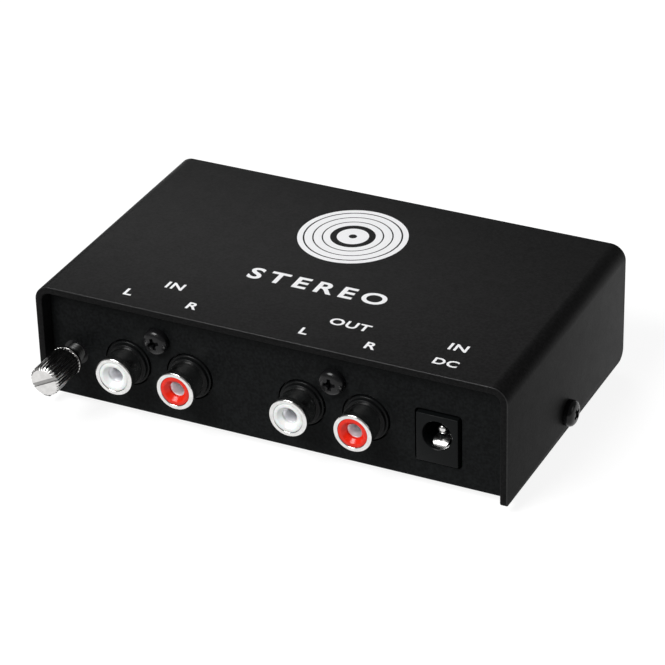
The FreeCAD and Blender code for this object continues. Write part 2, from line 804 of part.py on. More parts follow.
def main():
    """Build every piece and write it."""
    os.makedirs("parts", exist_ok=True)
    pieces = {"top_cover": make_cover(), "chassis": make_chassis(), "rubber_feet": make_feet()}
    half = cover_width / 2
    pieces["cover_screws"] = [pan_head_screw(side * half, cover_screw_y, cover_screw_z,
                                             Vector(-side, 0, 0), cover_screw_length) for side in (-1, 1)]
    for pair, centre in pair_centres.items():
        inserts = []
        for side, x in (("left", centre - socket_pitch / 2), ("right", centre + socket_pitch / 2)):
            shell = make_shell(x)
            insulator = make_insulator(x)
            contact = make_contact(x)
            pieces["%s_%s_shell" % (pair, side)] = shell
            pieces["%s_%s_insulator" % (pair, side)] = insulator
            pieces["%s_%s_contact" % (pair, side)] = contact
            inserts += [shell, contact]
        pieces[pair + "_socket_housing"] = make_housing(centre, inserts)
    pieces["socket_screws"] = [pan_head_screw(x, panel_recess, socket_screw_z, BACK, socket_screw_length)
                               for x in pair_centres.values()]
    dc_body, dc_pin, dc_spring = make_dc_socket()
    pieces["dc_socket_body"] = dc_body
    pieces["dc_centre_pin"] = dc_pin
    pieces["dc_spring_contact"] = dc_spring
    bush, lug, lock, nut, washer = make_terminal_parts()
    pieces["earth_bush"] = bush
    pieces["earth_solder_lug"] = lug
    pieces["earth_lock_washer"] = lock
    pieces["earth_nut"] = nut
    pieces["earth_clamp_washer"] = washer
    pieces["earth_thumb_screw"] = make_thumb_screw()
    pieces["earth_wire"] = make_ground_wire()
    pieces.update(make_board_rows())
    pieces["power_lamp"] = make_led()
    pieces["circuit_board"] = make_board()
    pieces["board_standoffs"] = make_standoffs()
    pieces["board_screws"] = make_board_screws()

    tallest_back = max(cover_depth, rear_face + led_proud)
    shift = Vector(0, -(knob_face + tallest_back) / 2, 0)
    for node, shapes in pieces.items():
        save(node, shapes, shift)
    print("%d nodes, origin shift %.3f" % (len(pieces), shift.y))


main()
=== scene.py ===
"""Looks of a small phono preamp: a black folded-steel case with plated sockets on one side.

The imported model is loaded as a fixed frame. Pieces that show are modelled again with rounded
edges and put where the frame says, and every piece gets a procedural finish.
"""
from __future__ import annotations

import logging
import math
from dataclasses import dataclass
from enum import Enum
from typing import Callable, Iterable, Sequence

import bmesh
import bpy
from bpy.types import Material, Node, NodeSocket, Object
from mathutils import Matrix, Vector

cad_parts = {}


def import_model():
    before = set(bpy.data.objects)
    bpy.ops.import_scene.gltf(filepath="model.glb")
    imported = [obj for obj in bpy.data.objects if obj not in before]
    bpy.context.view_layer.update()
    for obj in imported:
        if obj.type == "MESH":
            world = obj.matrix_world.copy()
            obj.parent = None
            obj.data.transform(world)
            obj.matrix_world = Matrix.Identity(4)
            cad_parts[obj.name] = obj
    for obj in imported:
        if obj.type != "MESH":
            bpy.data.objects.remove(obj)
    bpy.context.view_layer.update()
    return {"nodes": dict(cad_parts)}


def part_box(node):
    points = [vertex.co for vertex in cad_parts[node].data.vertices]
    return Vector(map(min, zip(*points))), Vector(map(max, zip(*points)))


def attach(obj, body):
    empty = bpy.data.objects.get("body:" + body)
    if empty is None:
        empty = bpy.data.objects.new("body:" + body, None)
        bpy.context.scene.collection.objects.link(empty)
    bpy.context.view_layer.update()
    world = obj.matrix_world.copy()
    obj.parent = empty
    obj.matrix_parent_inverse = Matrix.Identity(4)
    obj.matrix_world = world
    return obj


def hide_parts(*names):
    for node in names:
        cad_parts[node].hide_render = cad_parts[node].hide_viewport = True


LOG = logging.getLogger("preamp")
MM = 0.001
NEAR = 1e-6
MERGE = 1e-7
OVERCUT = 1 * MM
CASE_BODY = "case"
WASHER_BODY = "terminal_washer"
SCREW_BODY = "terminal_screw"

Colour = tuple[float, float, float]
Station = tuple[float, float]
Pattern = tuple[float, float, Colour]
Test = Callable[[Vector, object], bool]

EVEN = (1.0, 1.0, 1.0)
WHITE = (1.0, 1.0, 1.0, 1.0)


class Facing(Enum):
    """Way that a turned piece's free end points, as the turns about X and Y that take +Z there."""

    FRONT = (math.pi / 2, 0.0)
    RIGHT = (0.0, math.pi / 2)
    LEFT = (0.0, -math.pi / 2)
    UP = (0.0, 0.0)
    DOWN = (math.pi, 0.0)


class Element(Enum):
    """Kind of mesh element that is picked, as its select mode."""

    VERTS = "VERT"
    EDGES = "EDGE"
    FACES = "FACE"


class Pair(Enum):
    """The two twin sockets."""

    INPUT = "input"
    OUTPUT = "output"


class Channel(Enum):
    """The two sockets of a pair."""

    LEFT = "left"
    RIGHT = "right"


def near(one: float, other: float) -> bool:
    """True where two lengths count as the same."""
    return abs(one - other) < NEAR


def around(place: float, half: float) -> Station:
    """Span that reaches equally far to both sides of a place."""
    return place - half, place + half


def middle(node: str) -> Vector:
    """Middle of a frame node's box."""
    low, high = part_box(node)
    return (low + high) / 2


class ShaderGraph:
    """A material's nodes, built around one Principled shader."""

    noise_range = (0.3, 0.7)
    blend = (0.35, 0.65)

    def __init__(self, name: str) -> None:
        """Start a material.

        Args:
            name: Name of the material.
        """
        self.material = bpy.data.materials.new(name)
        self.material.use_nodes = True
        self.nodes = self.material.node_tree.nodes
        self.links = self.material.node_tree.links
        self.shader = next(node for node in self.nodes if node.type == "BSDF_PRINCIPLED")
        self.place = self.add("ShaderNodeTexCoord").outputs["Object"]
        self.noises: dict[Pattern, NodeSocket] = {}

    def feed(self, node: Node, *first: object, **inputs: object) -> Node:
        """Fill a node's inputs: a socket is linked, anything else is set as the value.

        Args:
            node: The node.
            *first: Its first inputs in order.
            **inputs: Other inputs by name, with underscores for spaces.

        Returns:
            The same node.
        """
        named = ((node.inputs[key.replace("_", " ")], value) for key, value in inputs.items())
        for socket, value in (*zip(node.inputs, first), *named):
            if isinstance(value, NodeSocket):
                self.links.new(value, socket)
            else:
                socket.default_value = value
        return node

    def add(self, kind: str, *first: object, **inputs: object) -> Node:
        """Add a node of one of Blender's types and return it with its inputs filled."""
        return self.feed(self.nodes.new(kind), *first, **inputs)

    def noise(self, size: float, detail: float = 3.0, stretch: Colour = EVEN) -> NodeSocket:
        """Noise over the object's own coordinates, made once for each pattern.

        Args:
            size: Size of a blotch in metres.
            detail: Number of finer layers.
            stretch: Factors on the coordinates, below 1 where the pattern runs long.

        Returns:
            The noise factor.
        """
        key = (size, detail, stretch)
        if key not in self.noises:
            mapping = self.add("ShaderNodeMapping", Vector=self.place, Scale=stretch)
            noise = self.add("ShaderNodeTexNoise", Vector=mapping.outputs["Vector"],
                             Scale=1.0 / size, Detail=detail)
            self.noises[key] = noise.outputs["Fac"]
        return self.noises[key]

    def colour(self, factor: NodeSocket, low: Iterable[float], high: Iterable[float],
               blend: Station = blend) -> None:
        """Blend the base colour between two colours.

        Args:
            factor: Socket that drives the blend.
            low: Colour at the start.
            high: Colour at the end.
            blend: Factors where the blend starts and ends.
        """
        ramp = self.add("ShaderNodeValToRGB", Fac=factor)
        for stop, position, colour in zip(ramp.color_ramp.elements, blend, (low, high)):
            stop.position = position
            stop.color = (*colour, 1.0)
        self.feed(self.shader, Base_Color=ramp.outputs["Color"])

    def vary(self, factor: NodeSocket, base: Colour, spread: float) -> None:
        """Make the base colour darker and lighter by a share of itself."""
        self.colour(factor, [channel * (1 - spread) for channel in base],
                    [min(1.0, channel * (1 + spread)) for channel in base])

    def roughness(self, factor: NodeSocket, low: float, high: float) -> None:
        """Vary the roughness between two values.

        Args:
            factor: Noise that drives it.
            low: Roughness at the low end.
            high: Roughness at the high end.
        """
        start, end = self.noise_range
        remap = self.add("ShaderNodeMapRange", Value=factor, From_Min=start, From_Max=end,
                         To_Min=low, To_Max=high)
        self.feed(self.shader, Roughness=remap.outputs["Result"])

    def bump(self, *layers: tuple[NodeSocket, float]) -> None:
        """Raise the surface by noise layers.

        Args:
            *layers: Pairs of a height factor and its depth in metres.
        """
        normal = {}
        for height, depth in layers:
            bump = self.add("ShaderNodeBump", Height=height, Distance=depth, Strength=1.0, **normal)
            normal = {"Normal": bump.outputs["Normal"]}
        self.feed(self.shader, **normal)


@dataclass(frozen=True)
class Finish:
    """Surface with blotches of colour and roughness over a fine relief.

    A pattern is a noise's blotch size, then its number of finer layers and its stretch where
    these aren't the usual ones.
    """

    name: str
    colour: Colour
    rough: tuple[float, float]
    specular: float = 0.5
    glow: float = 0.0
    metallic: float = 0.0
    spread: float = 0.06
    tint: tuple = (1.8 * MM,)
    wear: tuple = (1.8 * MM,)
    relief: tuple[tuple, ...] = ((0.09 * MM, 2.0),)
    depths: tuple[float, ...] = (0.003 * MM,)
    glow_depth: float = 0.4 * MM

    def build(self) -> Material:
        """Return the material."""
        graph = ShaderGraph(self.name)
        graph.vary(graph.noise(*self.tint), self.colour, self.spread)
        graph.roughness(graph.noise(*self.wear), *self.rough)
        graph.bump(*((graph.noise(*pattern), depth) for pattern, depth in zip(self.relief, self.depths)))
        graph.feed(graph.shader, Specular_IOR_Level=self.specular, Metallic=self.metallic,
                   Subsurface_Weight=self.glow, Subsurface_Scale=self.glow_depth)
        return graph.material


@dataclass(frozen=True)
class PowderCoat(Finish):
    """Satin powder coat on sheet steel: an orange peel with a finer grain."""

    colour: Colour = (0.006, 0.006, 0.0061)
    rough: tuple[float, float] = (0.455, 0.485)
    specular: float = 0.04
    spread: float = 0.35
    tint: tuple = (0.55 * MM, 2.0)
    wear: tuple = (3.0 * MM,)
    relief: tuple[tuple, ...] = ((0.55 * MM, 2.0), (0.14 * MM, 2.0))
    depths: tuple[float, ...] = (0.011 * MM, 0.008 * MM)


@dataclass(frozen=True)
class Plating(Finish):
    """Bright plated metal with faint turning marks and handling haze."""

    colour: Colour = (0.73, 0.725, 0.715)
    rough: tuple[float, float] = (0.1, 0.2)
    metallic: float = 1.0
    spread: float = 0.07
    tint: tuple = (1.1 * MM,)
    wear: tuple = (1.1 * MM,)
    relief: tuple[tuple, ...] = ((0.05 * MM, 2.0, (1.0, 0.08, 1.0)),)
    depths: tuple[float, ...] = (0.0015 * MM,)


@dataclass(frozen=True)
class Moulded(Finish):
    """Moulded plastic with a fine tool texture."""

    rough: tuple[float, float] = (0.3, 0.42)
    specular: float = 0.45


@dataclass(frozen=True)
class ScreenInk(Finish):
    """White screen-printed ink with a slightly open print."""

    colour: Colour = (0.84, 0.84, 0.85)
    rough: tuple[float, float] = (0.5, 0.62)
    specular: float = 0.3
    spread: float = 0.05
    tint: tuple = (0.14 * MM, 2.0)
    wear: tuple = (0.8 * MM,)
    relief: tuple[tuple, ...] = ((0.14 * MM, 2.0),)
    depths: tuple[float, ...] = (0.002 * MM,)


@dataclass(frozen=True)
class BoardMask:
    """Solder mask over copper tracks, which show as lighter strips."""

    name: str
    mask: Colour = (0.012, 0.11, 0.04)
    track: Colour = (0.03, 0.2, 0.07)
    rough: tuple[float, float] = (0.25, 0.35)
    strips: tuple = (2.6 * MM, 0.0, (1.0, 0.25, 1.0))
    blend: Station = (0.49, 0.52)
    height: float = 0.03 * MM

    def build(self) -> Material:
        """Return the material."""
        graph = ShaderGraph(self.name)
        strips = graph.noise(*self.strips)
        graph.colour(strips, self.mask, self.track, self.blend)
        graph.roughness(strips, *self.rough)
        graph.bump((strips, self.height))
        return graph.material


class Bench:
    """Modelling moves that the sub-assemblies share."""

    @staticmethod
    def only(obj: Object) -> None:
        """Select one object and make it active."""
        bpy.ops.object.select_all(action="DESELECT")
        obj.select_set(True)
        bpy.context.view_layer.objects.active = obj

    @staticmethod
    def add(operator: Callable[..., object], name: str, **settings: object) -> Object:
        """Add an object with nothing else selected.

        Args:
            operator: Operator that adds it.
            name: Its name.
            **settings: Settings of the operator.

        Returns:
            The new object.
        """
        bpy.ops.object.select_all(action="DESELECT")
        operator(**settings)
        obj = bpy.context.active_object
        obj.name = name
        obj.data.name = name
        return obj

    @staticmethod
    def bake(obj: Object) -> Object:
        """Put an object's place, turn and scale in its mesh and return it."""
        Bench.only(obj)
        bpy.ops.object.transform_apply(location=True, rotation=True, scale=True)
        return obj

    @staticmethod
    def edit(obj: Object, kind: Element, action: str = "SELECT") -> None:
        """Open an object for editing.

        Args:
            obj: Object to edit.
            kind: Kind of element that is picked.
            action: SELECT or DESELECT, for all of its elements.
        """
        Bench.only(obj)
        bpy.ops.object.mode_set(mode="EDIT")
        bpy.ops.mesh.select_mode(type=kind.value)
        bpy.ops.mesh.select_all(action=action)

    @staticmethod
    def close() -> None:
        """Leave edit mode."""
        bpy.ops.object.mode_set(mode="OBJECT")

    @staticmethod
    def pick(obj: Object, kind: Element, wanted: Test) -> None:
        """Open an object for editing and select elements by their place.

        Args:
            obj: Object to edit.
            kind: Kind of element that is picked.
            wanted: Test of an element's middle and the element.
        """
        Bench.edit(obj, kind, "DESELECT")
        mesh = bmesh.from_edit_mesh(obj.data)
        for element in getattr(mesh, kind.name.lower()):
            verts = [element] if kind is Element.VERTS else element.verts
            centre = sum((vert.co for vert in verts), Vector()) / len(verts)
            if wanted(centre, element):
                element.select_set(True)
        mesh.select_flush_mode()
        bmesh.update_edit_mesh(obj.data)

    @staticmethod
    def dress(obj: Object, finishes: Sequence[Material], second: Test) -> None:
        """Give an object two finishes.

        Args:
            obj: Object to dress.
            finishes: Main finish and second finish.
            second: Test of a face's middle and the face, true where the second finish goes.
        """
        for finish in finishes:
            obj.data.materials.append(finish)
        Bench.pick(obj, Element.FACES, second)
        obj.active_material_index = 1
        bpy.ops.object.material_slot_assign()
        Bench.close()

    @staticmethod
    def cap(obj: Object) -> None:
        """Close the open ends of a mesh."""
        Bench.pick(obj, Element.EDGES, lambda centre, edge: len(edge.link_faces) == 1)
        bpy.ops.mesh.edge_face_add()
        Bench.close()

    @staticmethod
    def outward(obj: Object) -> None:
        """Merge doubles and point all faces outward."""
        Bench.edit(obj, Element.VERTS)
        bpy.ops.mesh.remove_doubles(threshold=MERGE)
        bpy.ops.mesh.normals_make_consistent(inside=False)
        Bench.close()

    @staticmethod
    def bevel(radius: float, segments: int, affect: str) -> None:
        """Round the edges or corners that are selected and leave edit mode.

        Args:
            radius: Radius of the rounding in metres.
            segments: Number of faces across it.
            affect: EDGES or VERTICES.
        """
        bpy.ops.mesh.bevel(offset=radius, offset_type="OFFSET", segments=segments, profile=0.5,
                           affect=affect)
        Bench.close()

    @staticmethod
    def apply(obj: Object, kind: str, **settings: object) -> None:
        """Add a modifier, set it and apply it.

        Args:
            obj: Object to change.
            kind: Blender's name for the modifier type.
            **settings: Properties of the modifier to set.
        """
        Bench.only(obj)
        modifier = obj.modifiers.new(kind.lower(), kind)
        for key, value in settings.items():
            setattr(modifier, key, value)
        bpy.ops.object.modifier_apply(modifier=modifier.name)

    @staticmethod
    def soften(obj: Object, width: float, segments: int = 2, angle: float = 35.0) -> None:
        """Round the sharp edges of an object.

        Args:
            obj: Object to change.
            width: Width of the rounding in metres.
            segments: Number of faces across it.
            angle: Least angle of an edge that is rounded, in degrees.
        """
        Bench.apply(obj, "BEVEL", width=width, segments=segments, limit_method="ANGLE",
                    angle_limit=math.radians(angle), use_clamp_overlap=True)

    @staticmethod
    def cut(obj: Object, *cutters: Object) -> None:
        """Take solid cutters out of an object and delete them."""
        for cutter in cutters:
            Bench.apply(obj, "BOOLEAN", operation="DIFFERENCE", solver="EXACT", object=cutter)
            bpy.data.objects.remove(cutter)

    @staticmethod
    def join(obj: Object, *others: Object) -> Object:
        """Join other objects into one object and return it."""
        Bench.only(obj)
        for other in others:
            other.select_set(True)
        bpy.ops.object.join()
        return obj

    @staticmethod
    def block(name: str, *spans: Station, rounding: float = 0.0) -> Object:
        """Box between two corners.

        Args:
            name: Name of the object.
            *spans: Where it starts and ends along X, Y and Z.
            rounding: Radius of its edges in metres.

        Returns:
            The box, with its place in its mesh.
        """
        low, high = (Vector(corner) for corner in zip(*spans))
        box = Bench.add(bpy.ops.mesh.primitive_cube_add, name, size=1.0, location=(low + high) / 2)
        box.scale = high - low
        Bench.bake(box)
        if rounding:
            Bench.soften(box, rounding, 3)
        return box

    @staticmethod
    def turned(name: str, stations: Sequence[Station], sides: int, ring: bool = False) -> Object:
        """Turn a piece about Z by pushing a circle from station to station.

        Args:
            name: Name of the object.
            stations: (radius, height) pairs in order along the outline.
            sides: Number of sides of the circle.
            ring: True where the last station joins the first, False where both ends are capped.

        Returns:
            The turned object.
        """
        radius, height = stations[0]
        obj = Bench.add(bpy.ops.mesh.primitive_circle_add, name, vertices=sides, radius=radius,
                        location=(0, 0, height))
        Bench.edit(Bench.bake(obj), Element.EDGES)
        for next_radius, next_height in (*stations[1:], *(stations[:1] if ring else ())):
            move = {"value": (0, 0, next_height - height)}
            bpy.ops.mesh.extrude_edges_move(TRANSFORM_OT_translate=move)
            factor = next_radius / radius
            bpy.ops.transform.resize(value=(factor, factor, 1), center_override=(0, 0, next_height))
            radius, height = next_radius, next_height
        if not ring:
            bpy.ops.mesh.edge_face_add()
        Bench.close()
        if not ring:
            Bench.cap(obj)
        Bench.outward(obj)
        return obj

    @staticmethod
    def stand(obj: Object, place: Vector, facing: Facing, spin: float = 0.0) -> Object:
        """Turn a piece made about Z to its facing and move it to its place, all in its mesh.

        Args:
            obj: Piece made about the Z axis.
            place: Where its origin goes.
            facing: Where its +Z goes.
            spin: Turn about its own axis first, in radians.

        Returns:
            The same piece.
        """
        about_x, about_y = facing.value
        tilt = Matrix.Rotation(about_y, 4, "Y") @ Matrix.Rotation(about_x, 4, "X")
        obj.matrix_world = Matrix.Translation(place) @ tilt @ Matrix.Rotation(spin, 4, "Z")
        return Bench.bake(obj)


class Finishes:
    """Every finish of the preamp, built once."""

    def __init__(self) -> None:
        """Build the materials."""
        self.coat = PowderCoat("black_powder_coat").build()
        self.panel_coat = PowderCoat("panel_powder_coat", (0.0058, 0.0064, 0.0066)).build()
        # Front edge coat: its doubled colour is a painted highlight; its lower roughness and higher specular
        # are the coat's own
        self.coat_edge = PowderCoat("coat_edge", (0.012, 0.012, 0.0122), (0.3, 0.42), 0.22).build()
        self.black_screw = Moulded("black_screw", (0.006, 0.006, 0.0065), (0.2, 0.3), 0.24).build()
        self.rubber = Moulded("foot_rubber", (0.02, 0.02, 0.02), (0.6, 0.75), 0.3,
                              depths=(0.012 * MM,)).build()
        self.nickel = Plating("bright_nickel", rough=(0.14, 0.24)).build()
        self.worn_nickel = Plating("knob_nickel", (0.66, 0.65, 0.64), (0.14, 0.26),
                                   depths=(0.003 * MM,)).build()
        # Nickel darkened to 0.3: painted shade and painted dark reflection on the knob's flutes and slot and
        # on the clamp washer
        self.smoked_nickel = Plating("nickel_painted_shade", (0.3, 0.295, 0.29), (0.14, 0.26),
                                     depths=(0.002 * MM,)).build()
        self.satin_nickel = Plating("leaf_nickel", (0.78, 0.78, 0.77), (0.24, 0.32)).build()
        # Nickel darkened to near black for the thread: painted shade behind the washer
        self.thread_painted_shade = Plating("thread_nickel_painted_shade", (0.05, 0.05, 0.05), (0.3, 0.4)).build()
        self.tin = Plating("tinned_contact", (0.9, 0.9, 0.92), (0.45, 0.6)).build()
        self.steel = Plating("zinc_steel", (0.5, 0.51, 0.53), (0.3, 0.45)).build()
        self.black_plastic = Moulded("black_socket_plastic", (0.0055, 0.0058, 0.006), (0.24, 0.34),
                                     0.1).build()
        self.dc_plastic = Moulded("black_dc_plastic", (0.004, 0.0046, 0.0048), (0.28, 0.38), 0.08).build()
        self.white_plastic = Moulded("white_insulator", (0.82, 0.84, 0.83), (0.2, 0.3), 0.4, 0.15).build()
        self.red_plastic = Moulded("red_insulator", (0.74, 0.016, 0.003), (0.2, 0.3), 0.3, 0.08).build()
        self.ink = ScreenInk("white_ink").build()
        self.board = BoardMask("board_mask").build()
        self.chip = Moulded("chip_resin", (0.02, 0.02, 0.02), (0.5, 0.65), 0.35).build()
        self.sleeve = Moulded("can_sleeve", (0.015, 0.02, 0.06), (0.2, 0.35)).build()
        self.film = Moulded("film_box", (0.42, 0.06, 0.02), (0.3, 0.4)).build()
        self.resistor = Moulded("resistor_lacquer", (0.1, 0.27, 0.4), (0.3, 0.5)).build()
        self.lens = Moulded("lamp_lens", (0.22, 0.36, 0.75), (0.1, 0.2), 0.5, 0.3).build()
        self.wire = Moulded("wire_sleeve", (0.02, 0.22, 0.04), (0.3, 0.4)).build()


def settle(obj: Object, finish: Material, slot: str, *nodes: str,
           body: str = CASE_BODY, smooth: float = 40.0) -> None:
    """Complete a new piece: shading, material, body and the nodes that it stands for.

    Args:
        obj: The piece, in place.
        finish: Its material, unless it has its own already.
        slot: Not used.
        *nodes: Frame nodes that it replaces.
        body: Body that it rides on.
        smooth: Angle in degrees over which an edge stays sharp, 0 for flat faces.
    """
    if smooth:
        Bench.only(obj)
        bpy.ops.object.shade_smooth_by_angle(angle=math.radians(smooth))
    if not obj.data.materials:
        obj.data.materials.append(finish)
    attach(obj, body)
    if nodes:
        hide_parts(*nodes)
    LOG.info("%s: %d faces on %s", obj.name, len(obj.data.polygons), body)


@dataclass
class Assembly:
    """Sub-assembly that is dressed from the shared finishes."""

    finishes: Finishes


@dataclass
class Cover(Assembly):
    """Inverted channel of coated sheet steel."""

    gauge: float = 1.5 * MM
    bend: float = 3.4 * MM
    bend_segments: int = 12
    front_corner: float = 0.8 * MM
    rear_corner: float = 2.5 * MM
    corner_segments: int = 8
    edge: float = 0.16 * MM
    edge_angle: float = 50.0
    smooth_angle: float = 35.0
    least_upward: float = 0.05
    least_sideways: float = 0.1 * MM
    rounding_tilt: tuple[float, float] = (0.1, 0.99)

    def __post_init__(self) -> None:
        """Read the cover's corners."""
        self.low, self.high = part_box("top_cover")

    def build(self) -> None:
        """Open a block at three sides, fold it, round its corners, thicken it and coat it."""
        low, high = self.low, self.high
        sheet = Bench.block("folded_cover", *zip(low, high))
        Bench.pick(sheet, Element.FACES, lambda centre, face: near(centre.z, low.z)
                   or near(centre.y, low.y) or near(centre.y, high.y))
        bpy.ops.mesh.delete(type="FACE")
        Bench.close()
        Bench.pick(sheet, Element.EDGES, lambda centre, edge: near(centre.z, high.z)
                   and not near(edge.verts[0].co.y, edge.verts[1].co.y))
        Bench.bevel(self.bend, self.bend_segments, "EDGES")
        for y, radius in ((low.y, self.front_corner), (high.y, self.rear_corner)):
            Bench.pick(sheet, Element.VERTS,
                       lambda centre, vert: near(centre.z, low.z) and near(centre.y, y))
            Bench.bevel(radius, self.corner_segments, "VERTICES")
        Bench.apply(sheet, "SOLIDIFY", thickness=self.gauge, offset=-1.0, use_even_offset=True)
        Bench.soften(sheet, self.edge, 3, self.edge_angle)
        finishes = self.finishes
        # The front edge rounding gets the lighter coat as a painted highlight
        Bench.dress(sheet, (finishes.coat, finishes.coat_edge), self._on_front_edge)
        settle(sheet, finishes.coat, "black_powder_coat", "top_cover", smooth=self.smooth_angle)

    def _on_front_edge(self, centre: Vector, face: object) -> bool:
        """True for the rounding from the front cut edge to the outside of the sheet, which gets the painted
        highlight.
        """
        outside = face.normal.z > self.least_upward or face.normal.x * centre.x > self.least_sideways
        least, most = self.rounding_tilt
        return outside and centre.y < self.low.y + self.edge and least < abs(face.normal.y) < most


@dataclass
class PhonoSocket(Assembly):
    """One phono socket: plated shell, coloured insulator and centre contact.

    A rounding is a list of points in millimetres: in or out from the edge, and back from the front.
    """

    pair: Pair
    channel: Channel
    shell_wall: float = 0.35 * MM
    shell_radius: float = 4.0 * MM
    lip_length: float = 1.5 * MM
    lip_face: float = 0.45 * MM
    lip_rounding: tuple[Station, ...] = ((0.28, 0.0), (0.112, 0.07), (0.028, 0.17), (0.0, 0.28))
    lip_heel: tuple[Station, ...] = ((0.0, 0.12), (0.05, 0.04))
    mouth: float = 3.25 * MM
    mouth_rounding: tuple[Station, ...] = ((0.0, 0.14), (0.04, 0.05), (0.14, 0.0))
    nose_rounding: tuple[Station, ...] = ((0.0, 0.1), (0.03, 0.03), (0.1, 0.0))
    funnel: float = 2.4 * MM
    funnel_rounding: tuple[Station, ...] = ((0.1, 0.0), (0.0, 0.04))
    funnel_depth: float = 0.9 * MM
    funnel_foot: Station = (0.12 * MM, 0.08 * MM)
    hole: float = 1.7 * MM
    bore: float = 1.6 * MM
    bore_depth: float = 7.5 * MM
    bore_chamfer: Station = (0.18 * MM, 0.25 * MM)
    vent_share: float = 0.2
    contact_wall: float = 0.4 * MM
    contact_length: float = 9.0 * MM
    contact_edge: float = 0.05 * MM
    gap: float = 0.05 * MM
    slit: float = 0.3 * MM
    slit_depth: float = 4.0 * MM
    slit_angle: float = math.radians(-38.0)
    tail: float = 0.5 * MM
    tail_edge: float = 0.08 * MM
    strip_half: float = 0.25 * MM
    strip_edge: float = 0.05 * MM

    def __post_init__(self) -> None:
        """Read the socket's place."""
        low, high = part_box(self.node("shell"))
        self.lip = (high.x - low.x) / 2
        self.axis = Vector(((low.x + high.x) / 2, low.y, high.z - self.lip))
        self.foot = low.z
        self.root = high.y

    def node(self, part: str) -> str:
        """Name of one of this socket's frame nodes."""
        return f"{self.pair.value}_{self.channel.value}_{part}"

    def build(self) -> None:
        """Model the three pieces."""
        self._shell()
        self._insulator()
        self._contact()

    def _tail(self, start: float, top: float) -> Object:
        """Solder tail from one depth on, down from a height."""
        return Bench.block("tail", around(self.axis.x, self.tail), (start, start + self.tail),
                           (self.foot, top), rounding=self.tail_edge)

    def _shell(self) -> None:
        """Sleeve with a rolled lip."""
        length = self.root - self.axis.y
        inner = self.shell_radius - self.shell_wall
        stations = [(self.mouth, -self.lip_face),
                    *((self.mouth + out * MM, -back * MM) for out, back in self.mouth_rounding),
                    *((self.lip - across * MM, -back * MM) for across, back in self.lip_rounding),
                    *((self.lip - across * MM, up * MM - self.lip_length) for across, up in self.lip_heel),
                    (self.shell_radius, -self.lip_length), (self.shell_radius, -length),
                    (inner, -length), (inner, -self.lip_face)]
        shell = Bench.turned(self.node("sleeve"), stations, 96, ring=True)
        Bench.stand(shell, self.axis, Facing.FRONT)
        Bench.join(shell, self._tail(self.root - 2 * self.tail, self.axis.z - inner - self.shell_wall / 2))
        settle(shell, self.finishes.nickel, "nickel", self.node("shell"))

    def _insulator(self) -> None:
        """Coloured core with a funnel mouth."""
        low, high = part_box(self.node("insulator"))
        body = (high.x - low.x) / 2
        step = low.y - (self.axis.y + self.lip_face + self.gap)
        seat = low.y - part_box(self.node("contact"))[0].y
        back = low.y - high.y
        nose = self.mouth - self.gap
        outer = self.bore + self.contact_wall
        foot_out, foot_up = self.funnel_foot
        stations = [(nose, step),
                    *((nose - across * MM, -depth * MM) for across, depth in self.nose_rounding),
                    *((self.funnel + out * MM, -depth * MM) for out, depth in self.funnel_rounding),
                    (self.hole + foot_out, foot_up - self.funnel_depth), (self.hole, -self.funnel_depth),
                    (self.hole, seat), (outer, seat), (outer, back), (body, back), (body, step)]
        core = Bench.turned(self.node("core"), stations, 80, ring=True)
        Bench.stand(core, Vector((self.axis.x, low.y, self.axis.z)), Facing.FRONT)
        colour = "white" if self.channel is Channel.LEFT else "red"
        finish = self.finishes.white_plastic if colour == "white" else self.finishes.red_plastic
        settle(core, finish, f"{colour}_plastic", self.node("insulator"))

    def _contact(self) -> None:
        """Spring sleeve, split in two halves, with its tail."""
        low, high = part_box(self.node("contact"))
        outer = (high.x - low.x) / 2
        vent = self.bore * self.vent_share
        out, back = self.bore_chamfer
        stations = [(vent, -self.bore_depth), (self.bore, -self.bore_depth), (self.bore, -back),
                    (self.bore + out, 0.0), (outer - self.contact_edge, 0.0), (outer, -self.contact_edge),
                    (outer, -self.contact_length), (vent, -self.contact_length)]
        sleeve = Bench.turned(self.node("spring"), stations, 48, ring=True)
        Bench.cut(sleeve, Bench.block("slit", around(0.0, 2 * outer), around(0.0, self.slit / 2),
                                      (-self.slit_depth, OVERCUT)))
        Bench.stand(sleeve, Vector((self.axis.x, low.y, self.axis.z)), Facing.FRONT, self.slit_angle)
        strip = Bench.block("strip", around(self.axis.x, self.tail),
                            (low.y + self.contact_length - self.tail, high.y),
                            around(self.axis.z, self.strip_half), rounding=self.strip_edge)
        Bench.join(sleeve, strip, self._tail(high.y - self.tail, self.axis.z))
        settle(sleeve, self.finishes.tin, "tinned_contact", self.node("contact"))


